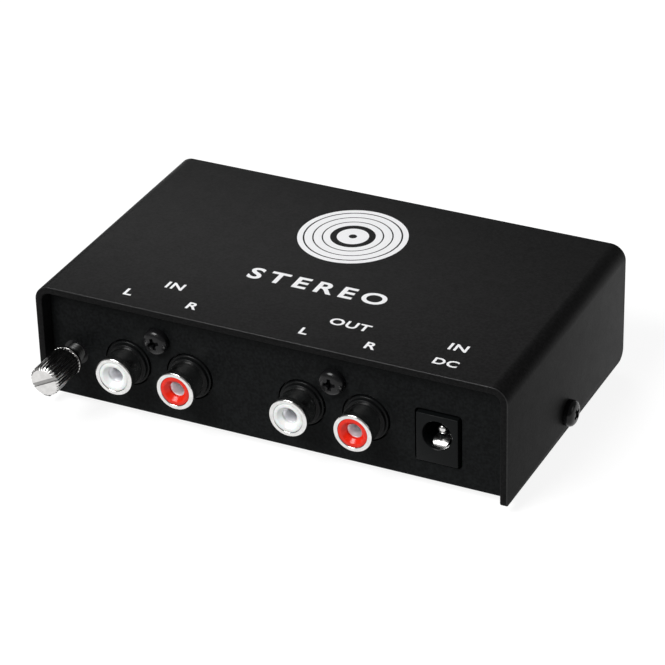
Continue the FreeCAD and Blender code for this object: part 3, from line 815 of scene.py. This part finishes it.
@dataclass
class PanHeadScrew(Assembly):
    """Black pan-head screw with a cross recess."""

    head: float = 2.8 * MM
    height: float = 2.1 * MM
    edge: float = 0.12 * MM
    wall_share: float = 0.42
    dome_angles: tuple[float, ...] = (12, 26, 40, 54, 67, 79)
    dome_power: float = 0.55
    flat_share: float = 0.12
    shank: float = 1.5 * MM
    tip_share: float = 0.7
    tip_length: float = 0.6 * MM
    side_length: float = 6 * MM
    recess: float = 1.25 * MM
    arm: float = 1.55 * MM
    blade: float = 0.42 * MM
    blade_over: float = 0.6 * MM
    blade_taper: Colour = (0.55, 0.8, 1.0)
    pit_radii: Colour = (0.25 * MM, 0.75 * MM, 0.85 * MM)
    pit_below: float = 0.25 * MM
    pit_shoulder: float = 0.3 * MM
    smooth_angle: float = 32.0

    def model(self, name: str, length: float) -> Object:
        """Model one screw about Z, with its seat at the origin.

        Args:
            name: Name of the object.
            length: Length of its shank.

        Returns:
            The screw.
        """
        wall = self.wall_share * self.height
        dome = [(self.head * math.cos(math.radians(angle)) ** self.dome_power,
                 wall + (self.height - wall) * math.sin(math.radians(angle)))
                for angle in self.dome_angles]
        stations = [(self.shank * self.tip_share, -length), (self.shank, self.tip_length - length),
                    (self.shank, 0.0), (self.head - self.edge, 0.0), (self.head, self.edge),
                    (self.head, wall), *dome, (self.flat_share * self.head, self.height)]
        screw = Bench.turned(name, stations, 64)
        heights = (self.height - self.recess - self.pit_below, self.height - self.pit_shoulder,
                   self.height + OVERCUT)
        floor = self.height - self.recess
        for spin in (0.0, math.pi / 2):
            blade = Bench.block("blade", around(0.0, self.arm), around(0.0, self.blade),
                                (floor, self.height + self.blade_over))
            Bench.pick(blade, Element.VERTS, lambda centre, vert: centre.z < self.height)
            bpy.ops.transform.resize(value=self.blade_taper, center_override=(0, 0, floor))
            Bench.close()
            Bench.cut(screw, Bench.stand(blade, Vector(), Facing.UP, spin))
        Bench.cut(screw, Bench.turned("pit", list(zip(self.pit_radii, heights)), 24))
        return screw

    def build(self) -> None:
        """Model the side screws and the socket screws, each at its seat and with its cross turned."""
        left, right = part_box("cover_screws")
        first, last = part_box("socket_screws")
        side = middle("cover_screws")
        front = first.y + self.height
        up = middle("socket_screws").z
        sunk = last.y - front
        for name, length, place, facing, spin, node in (
                ("cover_screw_right", self.side_length, (right.x - self.height, side.y, side.z),
                 Facing.RIGHT, 0.5, "cover_screws"),
                ("cover_screw_left", self.side_length, (left.x + self.height, side.y, side.z),
                 Facing.LEFT, 0.2, "cover_screws"),
                ("input_socket_screw", sunk, (first.x + self.head, front, up),
                 Facing.FRONT, 0.32, "socket_screws"),
                ("output_socket_screw", sunk, (last.x - self.head, front, up),
                 Facing.FRONT, 0.06, "socket_screws")):
            screw = Bench.stand(self.model(name, length), Vector(place), facing, spin)
            settle(screw, self.finishes.black_screw, "black_screw", node, smooth=self.smooth_angle)


@dataclass
class DcSocket(Assembly):
    """DC socket: moulded body, centre pin and spring contact."""

    hole: float = 3.2 * MM
    hole_depth: float = 10.0 * MM
    hole_flare: float = 0.3 * MM
    above_bottom: float = 6.5 * MM
    edge: float = 0.16 * MM
    mouth_edge: float = 0.12 * MM
    pin: float = 1.05 * MM
    pin_dome: float = 0.6
    pin_dome_angles: tuple[float, ...] = (0, 22, 44, 64, 80)
    root_share: float = 1.5
    root_length: float = 3.2 * MM
    tail: float = 0.5 * MM
    tail_edge: float = 0.06 * MM
    spring_width: float = 3.4 * MM
    spring_gauge: float = 0.3 * MM
    spring_rise: float = 1.2 * MM
    spring_edge: float = 0.05 * MM
    spring_steps: int = 36
    spring_tail_share: float = 0.3
    crest_depth: float = 3.3 * MM
    nose: tuple[float, ...] = (0.62, 1.24, 1.12, 1.06)
    slot_room: float = 0.3 * MM
    slot_floor: float = 0.4 * MM
    body_smooth: float = 32.0

    def __post_init__(self) -> None:
        """Read the socket's place."""
        self.low, self.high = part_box("dc_socket_body")
        self.mouth = Vector(((self.low.x + self.high.x) / 2, self.low.y, self.low.z + self.above_bottom))

    def build(self) -> None:
        """Model the three pieces."""
        self._body()
        self._pin()
        self._spring()

    def _body(self) -> None:
        """Block with a round hole and the channel of its spring."""
        body = Bench.block("dc_socket_block", *zip(self.low, self.high), rounding=self.edge)
        stations = [(self.hole, -self.hole_depth), (self.hole, -self.mouth_edge),
                    (self.hole + self.mouth_edge, 0.0), (self.hole + self.hole_flare, OVERCUT)]
        hole = Bench.stand(Bench.turned("hole", stations, 64), self.mouth, Facing.FRONT)
        near_end, far_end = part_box("dc_spring_contact")
        slot = Bench.block("slot", around(self.mouth.x, self.spring_width / 2 + self.slot_room),
                           (near_end.y - self.slot_room, far_end.y + self.slot_room),
                           (self.low.z + self.slot_floor, self.mouth.z - self.hole / 2))
        Bench.cut(body, hole, slot)
        settle(body, self.finishes.dc_plastic, "black_plastic", "dc_socket_body", smooth=self.body_smooth)

    def _pin(self) -> None:
        """Round centre pin on a wider root, with its tail."""
        low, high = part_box("dc_centre_pin")
        length = high.y - low.y
        wide = self.root_share * self.pin
        root = self.root_length - self.hole_depth
        dome = [(self.pin * math.cos(math.radians(angle)),
                 self.pin * self.pin_dome * (math.sin(math.radians(angle)) - 1))
                for angle in self.pin_dome_angles]
        pin = Bench.turned("dc_pin", [(self.pin, -length), (wide, -length), (wide, root), (self.pin, root),
                                      *dome], 40)
        Bench.stand(pin, Vector((self.mouth.x, low.y, self.mouth.z)), Facing.FRONT)
        Bench.join(pin, Bench.block("tail", around(self.mouth.x, self.tail), (high.y - self.tail, high.y),
                                    (low.z, self.mouth.z), rounding=self.tail_edge))
        settle(pin, self.finishes.nickel, "nickel", "dc_centre_pin")

    def _spring(self) -> None:
        """Bowed leaf along the bottom of the hole, with its tail."""
        low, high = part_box("dc_spring_contact")
        x = self.mouth.x
        bottom = self.mouth.z - self.hole - self.spring_gauge / 2
        far = high.y - self.spring_gauge / 2
        leaf = Bench.bake(Bench.add(bpy.ops.mesh.primitive_plane_add, "dc_spring", size=1.0,
                                    location=(x, low.y, bottom)))
        Bench.pick(leaf, Element.VERTS, lambda centre, vert: centre.y > low.y)
        bpy.ops.mesh.delete(type="VERT")
        bpy.ops.mesh.select_all(action="SELECT")
        bpy.ops.transform.translate(value=(0, 0.5, 0))
        width = self.spring_width / math.prod(self.nose[1:])
        bpy.ops.transform.resize(value=(width, 1, 1), center_override=(x, low.y, bottom))
        previous = Vector((0, low.y, bottom))
        crest = self.mouth.y + self.crest_depth
        for index in range(1, self.spring_steps + 1):
            y = low.y + (far - low.y) * index / self.spring_steps
            if y < crest:
                share = 1 - ((crest - y) / (crest - low.y)) ** 3
            else:
                share = 0.5 * (1 + math.cos(math.pi * (y - crest) / (far - crest)))
            here = Vector((0, y, bottom + self.spring_rise * share))
            bpy.ops.mesh.extrude_edges_move(TRANSFORM_OT_translate={"value": tuple(here - previous)})
            if index < len(self.nose):
                bpy.ops.transform.resize(value=(self.nose[index], 1, 1), center_override=(x, y, bottom))
            previous = here
        bpy.ops.mesh.extrude_edges_move(TRANSFORM_OT_translate={"value": (0, 0, low.z - bottom)})
        bpy.ops.transform.resize(value=(self.spring_tail_share, 1, 1), center_override=(x, far, low.z))
        Bench.close()
        Bench.apply(leaf, "SOLIDIFY", thickness=self.spring_gauge, offset=0.0, use_even_offset=True)
        Bench.outward(leaf)
        Bench.soften(leaf, self.spring_edge, 2, 50)
        settle(leaf, self.finishes.satin_nickel, "nickel", "dc_spring_contact")


@dataclass
class EarthTerminal(Assembly):
    """Knurled thumb screw with its clamp washer."""

    flutes: int = 30
    flute_depth: float = 0.28 * MM
    chamfer: float = 0.55 * MM
    rim: float = 0.16 * MM
    groove_depth: float = 0.02 * MM
    groove_middle: float = 0.06 * MM
    groove_end: float = 0.1 * MM
    back_edge: float = 0.08 * MM
    knob_edge: float = 0.045 * MM
    knob_angle: float = 24.0
    knob_smooth: float = 28.0
    slot: float = 0.9 * MM
    slot_depth: float = 0.4 * MM
    slot_angle: float = math.radians(27.0)
    shade_start: float = 0.06 * MM
    shade_share: float = 0.52
    flattest_flute: float = 0.5
    thread: float = 2.0 * MM
    core: float = 1.66 * MM
    core_start: float = 0.3 * MM
    core_tip: float = 0.5 * MM
    pitch: float = 0.7 * MM
    ridge_root: Station = (0.06 * MM, 0.44)
    ridge_crest: float = 0.07
    ridge_start: float = 0.9 * MM
    ridge_room: float = 1.2 * MM
    gap: float = 0.05 * MM
    washer_edge: float = 0.12 * MM

    def __post_init__(self) -> None:
        """Read the sizes of the screw and its washer."""
        low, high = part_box("earth_thumb_screw")
        self.washer_low, self.washer_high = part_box("earth_clamp_washer")
        self.radius = (high.x - low.x) / 2
        self.face = Vector(((low.x + high.x) / 2, low.y, (low.z + high.z) / 2))
        self.length = self.washer_low.y - self.gap - low.y
        self.total = high.y - low.y
        self.rim_front = self.rim - self.length

    def build(self) -> None:
        """Model the screw and the washer."""
        finishes = self.finishes
        knob = self._knob()
        # The flutes and the slot get the darkened nickel as painted shade and painted dark reflection
        Bench.dress(knob, (finishes.worn_nickel, finishes.smoked_nickel), self._in_shade)
        shank = self._thread()
        # The thread gets the near-black nickel as painted shade
        shank.data.materials.append(finishes.thread_painted_shade)
        Bench.stand(Bench.join(knob, shank), self.face, Facing.FRONT)
        settle(knob, finishes.worn_nickel, "nickel", "earth_thumb_screw", body=SCREW_BODY,
               smooth=self.knob_smooth)
        self._washer()

    def _knob(self) -> Object:
        """Fluted head with a chamfer, a plain rim and a slot across its face."""
        radius, front = self.radius, self.rim_front
        stations = [(radius - self.chamfer, 0.0), (radius, -self.chamfer), (radius, front),
                    (radius - self.groove_depth, front - self.groove_middle),
                    (radius, front - self.groove_end), (radius, self.back_edge - self.length),
                    (radius - self.back_edge, -self.length)]
        knob = Bench.turned("thumb_screw", stations, 4 * self.flutes)
        Bench.pick(knob, Element.VERTS, self._in_flute)
        factor = 1 - self.flute_depth / radius
        bpy.ops.transform.resize(value=(factor, factor, 1), center_override=(0, 0, 0))
        Bench.close()
        cutter = Bench.block("slot", around(0.0, 2 * radius), around(0.0, self.slot / 2),
                             (-self.slot_depth, OVERCUT))
        Bench.cut(knob, Bench.stand(cutter, Vector(), Facing.UP, self.slot_angle))
        Bench.soften(knob, self.knob_edge, 2, self.knob_angle)
        return knob

    def _in_flute(self, centre: Vector, vert: object) -> bool:
        """True for the two of each four points round the knob that lie at a flute's root."""
        count = round(math.atan2(centre.y, centre.x) / (2 * math.pi / (4 * self.flutes)))
        return self.rim_front - NEAR < centre.z < NEAR - self.chamfer and count % 4 in (2, 3)

    def _in_shade(self, centre: Vector, face: object) -> bool:
        """True for the faces of the flutes and of the slot, which get the darkened nickel as painted shade.
        """
        flute = self.rim_front < centre.z < -self.chamfer and abs(face.normal.z) < self.flattest_flute
        across = Vector((-math.sin(self.slot_angle), math.cos(self.slot_angle)))
        slot = abs(centre.xy.dot(across)) < self.shade_share * self.slot and centre.z < -self.shade_start
        return flute or slot

    def _thread(self) -> Object:
        """Round core with one helical ridge."""
        start = self.core_start - self.length
        end = -self.total
        core = Bench.turned("core", [(self.core - self.core_tip, end), (self.core, end + self.core_tip),
                                     (self.core, start)], 40)
        ridge = Bench.bake(Bench.add(bpy.ops.mesh.primitive_circle_add, "ridge", vertices=4, radius=1.0,
                                     location=(0, 0, 0)))
        sunk, share = self.ridge_root
        corners_of_ridge = [(self.core - sunk, -share), (self.thread, -self.ridge_crest),
                            (self.thread, self.ridge_crest), (self.core - sunk, share)]
        for vert, (radius, height) in zip(ridge.data.vertices, corners_of_ridge):
            vert.co = (radius, 0, end + self.ridge_start + height * self.pitch)
        Bench.apply(ridge, "SCREW", axis="Z", screw_offset=self.pitch,
                    iterations=int((start - end - self.ridge_room) / self.pitch), steps=32,
                    render_steps=32, use_merge_vertices=False)
        Bench.cap(ridge)
        Bench.outward(ridge)
        return Bench.join(core, ridge)

    def _washer(self) -> None:
        """Plain washer with eased edges."""
        low, high = self.washer_low, self.washer_high
        radius = (high.x - low.x) / 2
        bore = self.thread + self.gap
        depth = high.y - low.y
        washer = Bench.turned("clamp_washer", [(bore, 0.0), (radius, 0.0), (radius, -depth), (bore, -depth)],
                              72, ring=True)
        Bench.soften(washer, self.washer_edge, 3, 40)
        Bench.stand(washer, Vector((self.face.x, low.y, self.face.z)), Facing.FRONT)
        # The washer gets the darkened nickel as painted dark reflection
        settle(washer, self.finishes.smoked_nickel, "nickel", "earth_clamp_washer", body=WASHER_BODY)


@dataclass
class Feet(Assembly):
    """Four round rubber feet, whose outline is in shares of their radius and height."""

    radius: float = 4.0 * MM
    outline: tuple[Station, ...] = ((1.0, 0.0), (1.0, 0.55), (0.97, 0.8), (0.88, 1.0), (0.5, 1.0))
    edge: float = 0.15 * MM

    def build(self) -> None:
        """Model one foot and copy it to the four corners."""
        low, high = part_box("rubber_feet")
        stations = [(out * self.radius, up * (high.z - low.z)) for out, up in self.outline]
        first = Bench.turned("foot_0", stations, 48)
        Bench.stand(first, Vector((low.x + self.radius, low.y + self.radius, high.z)), Facing.DOWN)
        Bench.soften(first, self.edge, 2, 30)
        across = Vector((high.x - low.x - 2 * self.radius, 0, 0))
        along = Vector((0, high.y - low.y - 2 * self.radius, 0))
        feet = [first]
        for index, shift in enumerate((across, along, across + along), 1):
            Bench.only(first)
            bpy.ops.object.duplicate()
            foot = bpy.context.active_object
            foot.name = f"foot_{index}"
            foot.location = shift
            feet.append(Bench.bake(foot))
        for foot in feet:
            settle(foot, self.finishes.rubber, "rubber_black", "rubber_feet")


@dataclass
class Legends(Assembly):
    """Generic channel marks and a round groove pictogram printed on the top.

    A row is a distance from the cover's front edge. Each band of the disc has its outer and
    inner radius as shares of the disc's.
    """

    ink: float = 0.02 * MM
    sunk: float = 0.004 * MM
    cap: float = 2.4 * MM
    dc_cap: float = 2.2 * MM
    title_cap: float = 4.2 * MM
    cap_share: float = 0.69
    weight: float = 0.034
    widen: float = 1.14
    spacing: float = 1.1
    title_spacing: float = 1.4
    pair_row: float = 10.9 * MM
    letter_row: float = 5.0 * MM
    dc_row: float = 11.2 * MM
    title_row: float = 22.3 * MM
    disc_row: float = 44.5 * MM
    input_shift: float = 0.4 * MM
    output_shift: float = 0.2 * MM
    right_shift: float = 0.4 * MM
    dc_shift: float = 0.8 * MM
    title_x: float = 1.2 * MM
    disc_x: float = -1.4 * MM
    disc_radius: float = 11.7 * MM
    bands: tuple[Station, ...] = ((1.0, 0.9), (0.87, 0.73), (0.705, 0.56), (0.535, 0.41), (0.29, 0.075))
    name_origin: float = -0.1

    def __post_init__(self) -> None:
        """Read where the top and the front edge are."""
        low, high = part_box("top_cover")
        self.top = high.z
        self.front = low.y

    def build(self) -> None:
        """Print every mark."""
        marks = []
        for pair, word, shift in ((Pair.INPUT, "IN", self.input_shift),
                                  (Pair.OUTPUT, "OUT", self.output_shift)):
            left, right = (middle(f"{pair.value}_{channel.value}_insulator").x for channel in Channel)
            marks += [(word, (left + right) / 2 + shift, self.pair_row, self.cap),
                      ("L", left, self.letter_row, self.cap),
                      ("R", right + self.right_shift, self.letter_row, self.cap)]
        dc = middle("dc_socket_body").x + self.dc_shift
        marks += [("IN", dc, self.dc_row, self.cap), ("DC", dc, self.letter_row, self.dc_cap)]
        for mark in marks:
            self._word(*mark, self.spacing)
        self._word("STEREO", self.title_x, self.title_row, self.title_cap, self.title_spacing)
        self._pictogram()

    def _word(self, text: str, x: float, row: float, cap: float, spacing: float) -> None:
        """Print one word centred on a place.

        Args:
            text: What it says.
            x: Middle across the cover.
            row: Middle, measured from the cover's front edge.
            cap: Height of its capitals.
            spacing: Factor on the room from letter to letter.
        """
        name = f"mark_{text.lower()}_{round((x - self.name_origin) / MM)}"
        letters = Bench.add(bpy.ops.object.text_add, name, location=(0, 0, 0)).data
        letters.body = text
        letters.align_x = "CENTER"
        letters.size = cap / self.cap_share
        letters.offset = self.weight * cap
        letters.space_character = spacing
        letters.resolution_u = 5
        letters.extrude = (self.ink + self.sunk) / 2
        bpy.ops.object.convert(target="MESH")
        word = bpy.context.active_object
        points = [vert.co for vert in word.data.vertices]
        centre_x = (min(p.x for p in points) + max(p.x for p in points)) / 2
        centre_y = (min(p.y for p in points) + max(p.y for p in points)) / 2
        height = self.top + (self.ink - self.sunk) / 2
        word.location = (x - centre_x * self.widen, self.front + row - centre_y, height)
        word.scale.x = self.widen
        settle(Bench.bake(word), self.finishes.ink, "white_plastic", smooth=0)

    def _pictogram(self) -> None:
        """Print a disc of rings, like grooves round a label."""
        rings = []
        for band in self.bands:
            outer, inner = (share * self.disc_radius for share in band)
            stations = [(inner, -self.sunk), (outer, -self.sunk), (outer, self.ink), (inner, self.ink)]
            rings.append(Bench.turned("band", stations, 128, ring=True))
        disc = Bench.join(*rings)
        disc.name = "groove_pictogram"
        Bench.stand(disc, Vector((self.disc_x, self.front + self.disc_row, self.top)), Facing.UP)
        settle(disc, self.finishes.ink, "white_plastic", smooth=0)


@dataclass
class FrameNodes(Assembly):
    """Frame nodes whose shape stays, with better finishes."""

    nodes: dict[str, Object]

    def build(self) -> None:
        """Dress the nodes, where black plastic is the usual finish."""
        finishes = self.finishes
        groups = (
            (finishes.panel_coat, ("chassis",)),
            (finishes.board, ("circuit_board",)),
            (finishes.steel, ("board_standoffs", "board_screws", "earth_lock_washer")),
            (finishes.black_screw, ("earth_bush",)),
            (finishes.nickel, ("earth_nut",)),
            (finishes.tin, ("earth_solder_lug",)),
            (finishes.wire, ("earth_wire",)),
            (finishes.chip, ("op_amps", "voltage_regulators", "diodes")),
            (finishes.sleeve, ("supply_capacitors", "coupling_capacitors")),
            (finishes.film, ("film_capacitors",)),
            (finishes.resistor, ("resistors",)),
            (finishes.lens, ("power_lamp",)),
        )
        choice = {name: finish for finish, names in groups for name in names}
        for name, node in self.nodes.items():
            node.data.materials.clear()
            node.data.materials.append(choice.get(name, finishes.black_plastic))
        LOG.info("dressed %d frame nodes", len(self.nodes))


@dataclass
class Studio:
    """Pale floor, soft lights and the camera at the photograph's angle.

    A light is its name, place, length of side in metres and power in watts.
    """

    floor_size: float = 8.0
    floor_drop: float = 0.05 * MM
    matte: float = 0.2
    glow: float = 0.4
    seen_glow: float = 0.88
    room: float = 0.16
    lights: tuple = (("key_light", (-0.45, -0.95, 1.1), 0.7, 24.0),
                     ("sheen_light", (-0.65, 0.9, 0.74), 0.55, 3.7),
                     ("side_light", (1.2, 0.15, 0.5), 0.6, 1.5))
    lens: float = 165.9
    sensor: float = 36.0
    clip: tuple[float, float] = (0.01, 20.0)
    distance: float = 639.3 * MM
    azimuth: float = 0.4624
    elevation: float = 0.5262
    roll: float = -0.0262
    look: Colour = (-0.35 * MM, 31.62 * MM, 10.65 * MM)

    def build(self) -> None:
        """Set up everything that isn't the object."""
        self._floor()
        self._world()
        self._lamps()
        self._camera()
        bpy.context.scene.view_settings.view_transform = "Standard"

    def _floor(self) -> None:
        """White floor that keeps a soft shadow."""
        floor = Bench.bake(Bench.add(bpy.ops.mesh.primitive_plane_add, "studio_floor", size=self.floor_size,
                                     location=(0, 0, -self.floor_drop)))
        graph = ShaderGraph("studio_white")
        paths = graph.add("ShaderNodeLightPath").outputs
        seen = paths["Is Camera Ray"]
        for ray in ("Is Glossy Ray", "Is Transmission Ray"):
            either = graph.add("ShaderNodeMath", seen, paths[ray])
            either.operation = "MAXIMUM"
            seen = either.outputs[0]
        strength = graph.add("ShaderNodeMath", seen, self.seen_glow - self.glow, self.glow)
        strength.operation = "MULTIPLY_ADD"
        glow = graph.add("ShaderNodeEmission", Color=WHITE, Strength=strength.outputs[0])
        matte = graph.add("ShaderNodeBsdfDiffuse", Color=(self.matte, self.matte, self.matte, 1.0))
        both = graph.add("ShaderNodeAddShader", matte.outputs[0], glow.outputs[0])
        graph.feed(graph.nodes["Material Output"], Surface=both.outputs[0])
        graph.nodes.remove(graph.shader)
        floor.data.materials.append(graph.material)

    def _world(self) -> None:
        """Dim even room."""
        world = bpy.data.worlds.new("studio_room")
        world.use_nodes = True
        bpy.context.scene.world = world
        back = world.node_tree.nodes["Background"]
        back.inputs["Color"].default_value = WHITE
        back.inputs["Strength"].default_value = self.room

    def _lamps(self) -> None:
        """Square soft lights that look at the object."""
        for name, place, size, power in self.lights:
            light = Bench.add(bpy.ops.object.light_add, name, type="AREA", location=place)
            light.data.shape = "SQUARE"
            light.data.size = size
            light.data.energy = power
            light.rotation_mode = "QUATERNION"
            light.rotation_quaternion = (-Vector(place)).to_track_quat("-Z", "Y")

    def _camera(self) -> None:
        """Camera at the photograph's angle, which looks at a place from the cover's front edge."""
        low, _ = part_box("top_cover")
        target = Vector((0, low.y, low.z)) + Vector(self.look)
        camera = Bench.add(bpy.ops.object.camera_add, "photo_camera")
        camera.data.lens = self.lens
        camera.data.sensor_width = self.sensor
        camera.data.clip_start, camera.data.clip_end = self.clip
        tilt = Matrix.Rotation(math.pi / 2 - self.elevation, 4, "X") @ Matrix.Rotation(self.roll, 4, "Z")
        turn = Matrix.Translation(target) @ Matrix.Rotation(self.azimuth, 4, "Z") @ tilt
        camera.matrix_world = turn @ Matrix.Translation((0, 0, self.distance))
        bpy.context.scene.camera = camera


def main() -> None:
    """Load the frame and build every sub-assembly."""
    logging.basicConfig(level=logging.INFO, format="%(name)s: %(message)s")
    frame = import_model()
    finishes = Finishes()
    FrameNodes(finishes, frame["nodes"]).build()
    Cover(finishes).build()
    for pair in Pair:
        for channel in Channel:
            PhonoSocket(finishes, pair, channel).build()
    for assembly in (PanHeadScrew, DcSocket, EarthTerminal, Feet, Legends):
        assembly(finishes).build()
    Studio().build()


if __name__ == "__main__":
    main()
